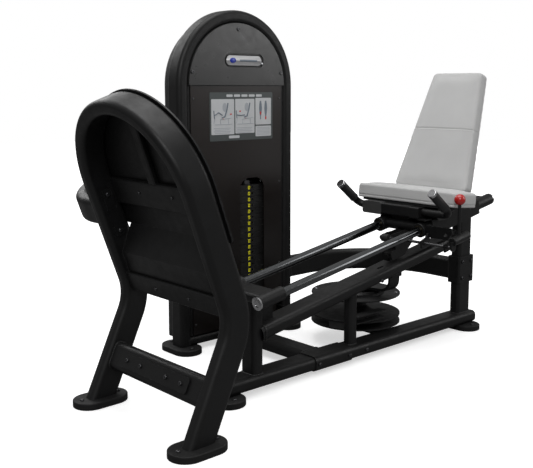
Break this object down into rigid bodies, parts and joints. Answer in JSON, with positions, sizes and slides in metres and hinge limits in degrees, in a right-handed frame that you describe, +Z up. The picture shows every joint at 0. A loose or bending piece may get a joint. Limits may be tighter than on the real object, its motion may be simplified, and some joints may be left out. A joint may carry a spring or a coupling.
{
  "type": "leg press machine",
  "caption": "Selectorised seated leg press: reclined seat carriage on sloped guide rods, leaning footplate arch and an arched weight-stack tower.",
  "frame": {"origin": "floor level, on the centre line between the two guide rods, at the X of the footplate arch feet", "axes": "+Z up, +X from the footplate towards the seat along the base tube, +Y towards the weight tower"},
  "size_m": [1.9656, 1.058, 1.4558],
  "materials": {
    "frame_black": "satin powder coat",
    "rod_chrome": "polished",
    "steel": "satin",
    "grey_pad": "soft grained vinyl",
    "pad_back": "matte",
    "panel_dark": "smoked satin gloss",
    "cap_grey": "satin",
    "cover_black": "fine texture",
    "plate_iron": "painted black",
    "rubber": "matte",
    "grip": "matte",
    "knob_red": "gloss",
    "pale_plastic": "satin",
    "drum_paint": "satin powder coat",
    "nylon": "satin",
    "cable": "satin",
    "brass": "satin",
    "bolt_dark": "blackened",
    "bolt_zinc": "zinc plated",
    "tread": "ribbed matte",
    "plate_pale": "satin"
  },
  "bodies": {
    "frame": {"arch_braces": "frame_black", "arch_tube": "frame_black", "base_tube": "frame_black", "bolt_plates": "frame_black", "clamp_sleeves": "frame_black", "crossheads": "frame_black", "drum_brackets": "frame_black", "drum_shaft": "steel", "floor_cross_tube": "frame_black", "footplate": "frame_black", "footplate_treads": "tread", "frame_bolts": "bolt_dark", "frame_posts": "frame_black", "guide_rods": "rod_chrome", "lifting_cable": "cable", "link_tubes": "frame_black", "low_cross_member": "frame_black", "pulley_axles": "steel", "pulley_brackets": "frame_black", "rail_beam": "frame_black", "rear_post": "frame_black", "rest_plates": "plate_iron", "rod_end_caps": "rod_chrome", "rubber_feet": "rubber", "stack_bumpers": "rubber", "stack_guide_rods": "rod_chrome", "top_crossbar": "frame_black", "tower_back_cover": "cover_black", "tower_base": "frame_black", "tower_frame": "frame_black", "tower_front_panel": "panel_dark", "tower_plates": "plate_pale", "tower_top_cap": "cap_grey"},
    "carriage": {"bearing_housings": "frame_black", "slide_bushings": "brass", "carriage_frame": "frame_black", "seat_pad": "grey_pad", "backrest_pad": "grey_pad", "pad_boards": "pad_back", "backrest_upright": "frame_black", "crossbeam_end_caps": "pale_plastic", "handle_bar": "frame_black", "handle_grips": "grip", "grip_end_caps": "rod_chrome", "latch_housing": "frame_black", "roller_axle": "steel", "lever_bracket": "frame_black"},
    "release_lever": {"latch_shaft": "steel", "lever_arm": "frame_black", "ball_knob": "knob_red"},
    "roller": {"latch_roller": "nylon"},
    "lifted_stack": {"lifted_plates": "plate_iron", "selector_stem": "steel"},
    "pin": {"selector_pin": "knob_red"},
    "top_sheave": {"top_pulley": "nylon"},
    "floor_sheave": {"floor_pulley": "nylon"},
    "drum": {"upper_drum": "drum_paint", "lower_drum": "drum_paint", "drum_wedge": "pale_plastic", "drum_bolts": "bolt_zinc"}
  },
  "joints": [
    {"name": "seat_slide", "type": "slide", "parent": "frame", "child": "carriage", "axis": [-0.9848, 0, -0.1736], "range_m": [0, 0.64]},
    {"name": "lever_pull", "type": "hinge", "parent": "carriage", "child": "release_lever", "pos_m": [1.27478, -0.2, 0.48182], "axis": [0, 1, 0], "range_deg": [0, 20]},
    {"name": "roller_spin", "type": "hinge", "parent": "carriage", "child": "roller", "pos_m": [1.20956, 0, 0.49265], "axis": [0, 1, 0], "continuous": true},
    {"name": "weight_lift", "type": "slide", "parent": "frame", "child": "lifted_stack", "axis": [0, 0, 1], "range_m": [0, 0.32]},
    {"name": "pin_pull", "type": "slide", "parent": "lifted_stack", "child": "pin", "axis": [0, -1, 0], "range_m": [0, 0.07]},
    {"name": "top_pulley_turn", "type": "hinge", "parent": "frame", "child": "top_sheave", "pos_m": [1.023, 0.62, 1.206], "axis": [0, 1, 0], "range_deg": [-10, 260]},
    {"name": "floor_pulley_turn", "type": "hinge", "parent": "frame", "child": "floor_sheave", "pos_m": [1.098, 0.591, 0.141], "axis": [-1, 0, 0], "range_deg": [-10, 650]},
    {"name": "drum_turn", "type": "hinge", "parent": "frame", "child": "drum", "pos_m": [1.238, 0.197, 0.15], "axis": [0, 0, 1], "range_deg": [-170, 170]}
  ],
  "couplings": [
    {"joint": "top_pulley_turn", "follows": "weight_lift", "rad_per_m": 13.333},
    {"joint": "floor_pulley_turn", "follows": "weight_lift", "rad_per_m": 34.483},
    {"joint": "drum_turn", "follows": "weight_lift", "rad_per_m": 8.4746}
  ]
}
